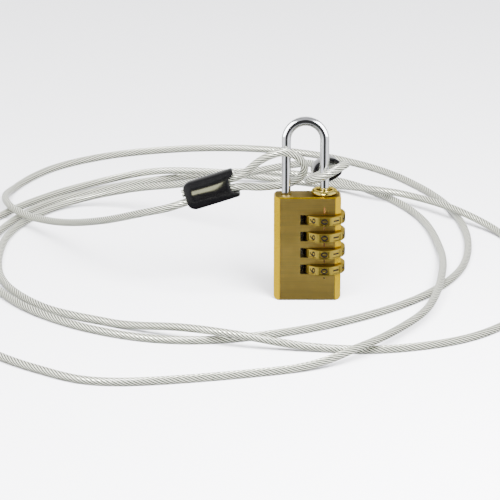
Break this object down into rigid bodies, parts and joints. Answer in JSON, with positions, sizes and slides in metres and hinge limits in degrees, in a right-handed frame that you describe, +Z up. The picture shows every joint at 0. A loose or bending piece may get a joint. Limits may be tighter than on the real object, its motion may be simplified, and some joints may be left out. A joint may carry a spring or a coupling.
{
  "type": "combination cable lock",
  "caption": "Brass combination padlock with number dials and a steel shackle, holding both looped ends of a coiled plastic-coated security cable.",
  "frame": {"origin": "middle of the padlock body's flat base", "axes": "+Z up along the shackle's legs, dials face -Y, +X to the dial side"},
  "size_m": [0.2208, 0.2908, 0.067],
  "materials": {
    "brushed_brass": "brushed",
    "polished_brass": "polished",
    "chromed_steel": "polished",
    "bright_steel": "turned",
    "spring_steel": "bright drawn",
    "ferrule_metal": "satin",
    "coated_rope": "stranded steel under clear plastic",
    "black_plastic": "satin moulded"
  },
  "bodies": {
    "root": {"body": "brushed_brass", "heel_collar": "polished_brass", "click_plate": "spring_steel", "thrust_washer": "bright_steel", "hub_spring": "spring_steel", "lift_spring": "spring_steel", "bottom_plug": "brushed_brass", "cable": "coated_rope", "eye_left": "coated_rope", "eye_right": "coated_rope", "ferrule_left": "ferrule_metal", "ferrule_right": "ferrule_metal", "sleeve_left": "black_plastic", "sleeve_right": "black_plastic"},
    "shackle_body": {"shackle": "chromed_steel", "retaining_ring": "spring_steel"},
    "dial_body_1": {"dial_1": "polished_brass", "hub_1": "bright_steel"},
    "dial_body_2": {"dial_2": "polished_brass", "hub_2": "bright_steel"},
    "dial_body_3": {"dial_3": "polished_brass", "hub_3": "bright_steel"},
    "dial_body_4": {"dial_4": "polished_brass", "hub_4": "bright_steel"}
  },
  "joints": [
    {"name": "shackle_lift", "type": "slide", "parent": "root", "child": "shackle_body", "axis": [0, 0, 1], "range_m": [0, 0.005], "deforming": ["lift_spring"]},
    {"name": "dial_turn_1", "type": "hinge", "parent": "root", "child": "dial_body_1", "pos_m": [0.006, 0, 0.0302], "axis": [0, 0, 1], "continuous": true},
    {"name": "dial_turn_2", "type": "hinge", "parent": "root", "child": "dial_body_2", "pos_m": [0.006, 0, 0.02405], "axis": [0, 0, 1], "continuous": true},
    {"name": "dial_turn_3", "type": "hinge", "parent": "root", "child": "dial_body_3", "pos_m": [0.006, 0, 0.0179], "axis": [0, 0, 1], "continuous": true},
    {"name": "dial_turn_4", "type": "hinge", "parent": "root", "child": "dial_body_4", "pos_m": [0.006, 0, 0.01175], "axis": [0, 0, 1], "continuous": true}
  ]
}
